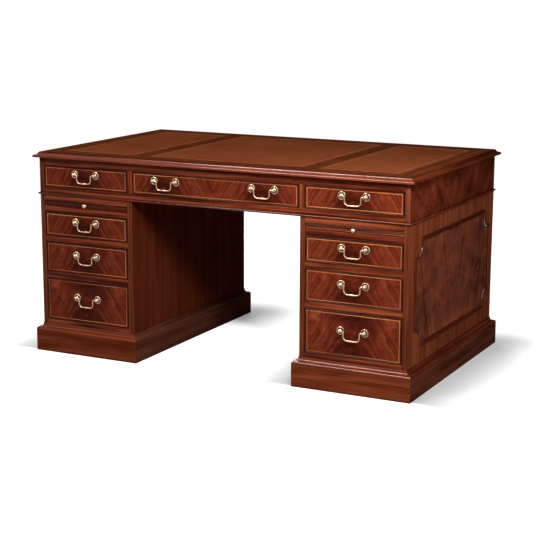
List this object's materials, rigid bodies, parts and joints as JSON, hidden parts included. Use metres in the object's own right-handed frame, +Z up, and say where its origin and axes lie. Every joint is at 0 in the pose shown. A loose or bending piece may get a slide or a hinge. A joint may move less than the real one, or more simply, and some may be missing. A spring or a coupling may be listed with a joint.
{
  "type": "partners desk",
  "caption": "Mahogany pedestal desk used from both sides: leather-lined top over a frieze of drawers, pedestals with drawers and brushing slides before and cupboards behind.",
  "frame": {"origin": "on the floor, under the middle of the desk", "axes": "+X to the right of someone facing the side with the pedestal drawers, along the desk's length; +Y from that side to the cupboard side; +Z up"},
  "size_m": [1.528, 0.918, 0.762],
  "materials": {
    "mahogany": "polished",
    "mahogany_cross": "polished",
    "drawer_mahogany": "polished",
    "inner_wood": "plain",
    "leather": "satin",
    "brass": "antique, polished"
  },
  "bodies": {
    "desk": {"top_board": "mahogany_cross", "leather_panels": "leather", "frieze_frame": "mahogany", "frieze_partitions": "inner_wood", "waist_moulding": "mahogany_cross", "pedestal_left_carcass": "mahogany", "pedestal_left_rails": "mahogany", "pedestal_left_plinth": "mahogany", "pedestal_right_carcass": "mahogany", "pedestal_right_rails": "mahogany", "pedestal_right_plinth": "mahogany", "cupboard_shelves": "inner_wood", "cupboard_hinges": "brass", "end_panel_mouldings": "mahogany"},
    "frieze_drawer_centre": {"frieze_drawer_centre": "drawer_mahogany", "frieze_drawer_centre_posts": "brass"},
    "frieze_drawer_centre_bail_left": {"frieze_drawer_centre_bail_left": "brass"},
    "frieze_drawer_centre_bail_right": {"frieze_drawer_centre_bail_right": "brass"},
    "frieze_drawer_left": {"frieze_drawer_left": "drawer_mahogany", "frieze_drawer_left_posts": "brass"},
    "frieze_drawer_left_bail": {"frieze_drawer_left_bail": "brass"},
    "frieze_drawer_right": {"frieze_drawer_right": "drawer_mahogany", "frieze_drawer_right_posts": "brass"},
    "frieze_drawer_right_bail": {"frieze_drawer_right_bail": "brass"},
    "rear_frieze_drawer_centre": {"rear_frieze_drawer_centre": "drawer_mahogany", "rear_frieze_drawer_centre_posts": "brass"},
    "rear_frieze_drawer_centre_bail_left": {"rear_frieze_drawer_centre_bail_left": "brass"},
    "rear_frieze_drawer_centre_bail_right": {"rear_frieze_drawer_centre_bail_right": "brass"},
    "rear_frieze_drawer_left": {"rear_frieze_drawer_left": "drawer_mahogany", "rear_frieze_drawer_left_posts": "brass"},
    "rear_frieze_drawer_left_bail": {"rear_frieze_drawer_left_bail": "brass"},
    "rear_frieze_drawer_right": {"rear_frieze_drawer_right": "drawer_mahogany", "rear_frieze_drawer_right_posts": "brass"},
    "rear_frieze_drawer_right_bail": {"rear_frieze_drawer_right_bail": "brass"},
    "pedestal_left_drawer_upper": {"pedestal_left_drawer_upper": "drawer_mahogany", "pedestal_left_drawer_upper_posts": "brass"},
    "pedestal_left_drawer_upper_bail": {"pedestal_left_drawer_upper_bail": "brass"},
    "pedestal_left_drawer_middle": {"pedestal_left_drawer_middle": "drawer_mahogany", "pedestal_left_drawer_middle_posts": "brass"},
    "pedestal_left_drawer_middle_bail": {"pedestal_left_drawer_middle_bail": "brass"},
    "pedestal_left_drawer_lower": {"pedestal_left_drawer_lower": "drawer_mahogany", "pedestal_left_drawer_lower_posts": "brass"},
    "pedestal_left_drawer_lower_bail": {"pedestal_left_drawer_lower_bail": "brass"},
    "pedestal_left_slide": {"pedestal_left_slide": "mahogany", "pedestal_left_slide_knob": "brass"},
    "pedestal_right_drawer_upper": {"pedestal_right_drawer_upper": "drawer_mahogany", "pedestal_right_drawer_upper_posts": "brass"},
    "pedestal_right_drawer_upper_bail": {"pedestal_right_drawer_upper_bail": "brass"},
    "pedestal_right_drawer_middle": {"pedestal_right_drawer_middle": "drawer_mahogany", "pedestal_right_drawer_middle_posts": "brass"},
    "pedestal_right_drawer_middle_bail": {"pedestal_right_drawer_middle_bail": "brass"},
    "pedestal_right_drawer_lower": {"pedestal_right_drawer_lower": "drawer_mahogany", "pedestal_right_drawer_lower_posts": "brass"},
    "pedestal_right_drawer_lower_bail": {"pedestal_right_drawer_lower_bail": "brass"},
    "pedestal_right_slide": {"pedestal_right_slide": "mahogany", "pedestal_right_slide_knob": "brass"},
    "cupboard_door_left": {"cupboard_door_left": "mahogany", "cupboard_door_left_fittings": "brass"},
    "cupboard_door_right": {"cupboard_door_right": "mahogany", "cupboard_door_right_fittings": "brass"}
  },
  "joints": [
    {"name": "frieze_drawer_centre_run", "type": "slide", "parent": "desk", "child": "frieze_drawer_centre", "axis": [0, -1, 0], "range_m": [0, 0.32]},
    {"name": "frieze_drawer_centre_bail_left_pivot", "type": "hinge", "parent": "frieze_drawer_centre", "child": "frieze_drawer_centre_bail_left", "pos_m": [-0.197, -0.449, 0.686], "axis": [-1, 0, 0], "range_deg": [-12, 90]},
    {"name": "frieze_drawer_centre_bail_right_pivot", "type": "hinge", "parent": "frieze_drawer_centre", "child": "frieze_drawer_centre_bail_right", "pos_m": [0.197, -0.449, 0.686], "axis": [-1, 0, 0], "range_deg": [-12, 90]},
    {"name": "frieze_drawer_left_run", "type": "slide", "parent": "desk", "child": "frieze_drawer_left", "axis": [0, -1, 0], "range_m": [0, 0.32]},
    {"name": "frieze_drawer_left_bail_pivot", "type": "hinge", "parent": "frieze_drawer_left", "child": "frieze_drawer_left_bail", "pos_m": [-0.5395, -0.449, 0.686], "axis": [-1, 0, 0], "range_deg": [-12, 90]},
    {"name": "frieze_drawer_right_run", "type": "slide", "parent": "desk", "child": "frieze_drawer_right", "axis": [0, -1, 0], "range_m": [0, 0.32]},
    {"name": "frieze_drawer_right_bail_pivot", "type": "hinge", "parent": "frieze_drawer_right", "child": "frieze_drawer_right_bail", "pos_m": [0.5395, -0.449, 0.686], "axis": [-1, 0, 0], "range_deg": [-12, 90]},
    {"name": "rear_frieze_drawer_centre_run", "type": "slide", "parent": "desk", "child": "rear_frieze_drawer_centre", "axis": [0, 1, 0], "range_m": [0, 0.32]},
    {"name": "rear_frieze_drawer_centre_bail_left_pivot", "type": "hinge", "parent": "rear_frieze_drawer_centre", "child": "rear_frieze_drawer_centre_bail_left", "pos_m": [0.197, 0.449, 0.686], "axis": [1, 0, 0], "range_deg": [-12, 90]},
    {"name": "rear_frieze_drawer_centre_bail_right_pivot", "type": "hinge", "parent": "rear_frieze_drawer_centre", "child": "rear_frieze_drawer_centre_bail_right", "pos_m": [-0.197, 0.449, 0.686], "axis": [1, 0, 0], "range_deg": [-12, 90]},
    {"name": "rear_frieze_drawer_left_run", "type": "slide", "parent": "desk", "child": "rear_frieze_drawer_left", "axis": [0, 1, 0], "range_m": [0, 0.32]},
    {"name": "rear_frieze_drawer_left_bail_pivot", "type": "hinge", "parent": "rear_frieze_drawer_left", "child": "rear_frieze_drawer_left_bail", "pos_m": [-0.5395, 0.449, 0.686], "axis": [1, 0, 0], "range_deg": [-12, 90]},
    {"name": "rear_frieze_drawer_right_run", "type": "slide", "parent": "desk", "child": "rear_frieze_drawer_right", "axis": [0, 1, 0], "range_m": [0, 0.32]},
    {"name": "rear_frieze_drawer_right_bail_pivot", "type": "hinge", "parent": "rear_frieze_drawer_right", "child": "rear_frieze_drawer_right_bail", "pos_m": [0.5395, 0.449, 0.686], "axis": [1, 0, 0], "range_deg": [-12, 90]},
    {"name": "pedestal_left_drawer_upper_run", "type": "slide", "parent": "desk", "child": "pedestal_left_drawer_upper", "axis": [0, -1, 0], "range_m": [0, 0.38]},
    {"name": "pedestal_left_drawer_upper_bail_pivot", "type": "hinge", "parent": "pedestal_left_drawer_upper", "child": "pedestal_left_drawer_upper_bail", "pos_m": [-0.5415, -0.449, 0.506], "axis": [-1, 0, 0], "range_deg": [-12, 90]},
    {"name": "pedestal_left_drawer_middle_run", "type": "slide", "parent": "desk", "child": "pedestal_left_drawer_middle", "axis": [0, -1, 0], "range_m": [0, 0.38]},
    {"name": "pedestal_left_drawer_middle_bail_pivot", "type": "hinge", "parent": "pedestal_left_drawer_middle", "child": "pedestal_left_drawer_middle_bail", "pos_m": [-0.5415, -0.449, 0.38025], "axis": [-1, 0, 0], "range_deg": [-12, 90]},
    {"name": "pedestal_left_drawer_lower_run", "type": "slide", "parent": "desk", "child": "pedestal_left_drawer_lower", "axis": [0, -1, 0], "range_m": [0, 0.38]},
    {"name": "pedestal_left_drawer_lower_bail_pivot", "type": "hinge", "parent": "pedestal_left_drawer_lower", "child": "pedestal_left_drawer_lower_bail", "pos_m": [-0.5415, -0.449, 0.218], "axis": [-1, 0, 0], "range_deg": [-12, 90]},
    {"name": "pedestal_left_slide_run", "type": "slide", "parent": "desk", "child": "pedestal_left_slide", "axis": [0, -1, 0], "range_m": [0, 0.3]},
    {"name": "pedestal_right_drawer_upper_run", "type": "slide", "parent": "desk", "child": "pedestal_right_drawer_upper", "axis": [0, -1, 0], "range_m": [0, 0.38]},
    {"name": "pedestal_right_drawer_upper_bail_pivot", "type": "hinge", "parent": "pedestal_right_drawer_upper", "child": "pedestal_right_drawer_upper_bail", "pos_m": [0.5415, -0.449, 0.506], "axis": [-1, 0, 0], "range_deg": [-12, 90]},
    {"name": "pedestal_right_drawer_middle_run", "type": "slide", "parent": "desk", "child": "pedestal_right_drawer_middle", "axis": [0, -1, 0], "range_m": [0, 0.38]},
    {"name": "pedestal_right_drawer_middle_bail_pivot", "type": "hinge", "parent": "pedestal_right_drawer_middle", "child": "pedestal_right_drawer_middle_bail", "pos_m": [0.5415, -0.449, 0.38025], "axis": [-1, 0, 0], "range_deg": [-12, 90]},
    {"name": "pedestal_right_drawer_lower_run", "type": "slide", "parent": "desk", "child": "pedestal_right_drawer_lower", "axis": [0, -1, 0], "range_m": [0, 0.38]},
    {"name": "pedestal_right_drawer_lower_bail_pivot", "type": "hinge", "parent": "pedestal_right_drawer_lower", "child": "pedestal_right_drawer_lower_bail", "pos_m": [0.5415, -0.449, 0.218], "axis": [-1, 0, 0], "range_deg": [-12, 90]},
    {"name": "pedestal_right_slide_run", "type": "slide", "parent": "desk", "child": "pedestal_right_slide", "axis": [0, -1, 0], "range_m": [0, 0.3]},
    {"name": "cupboard_door_left_swing", "type": "hinge", "parent": "desk", "child": "cupboard_door_left", "pos_m": [-0.7215, 0.4438, 0.3525], "axis": [0, 0, 1], "range_deg": [0, 110]},
    {"name": "cupboard_door_right_swing", "type": "hinge", "parent": "desk", "child": "cupboard_door_right", "pos_m": [0.7215, 0.4438, 0.3525], "axis": [0, 0, -1], "range_deg": [0, 110]}
  ]
}
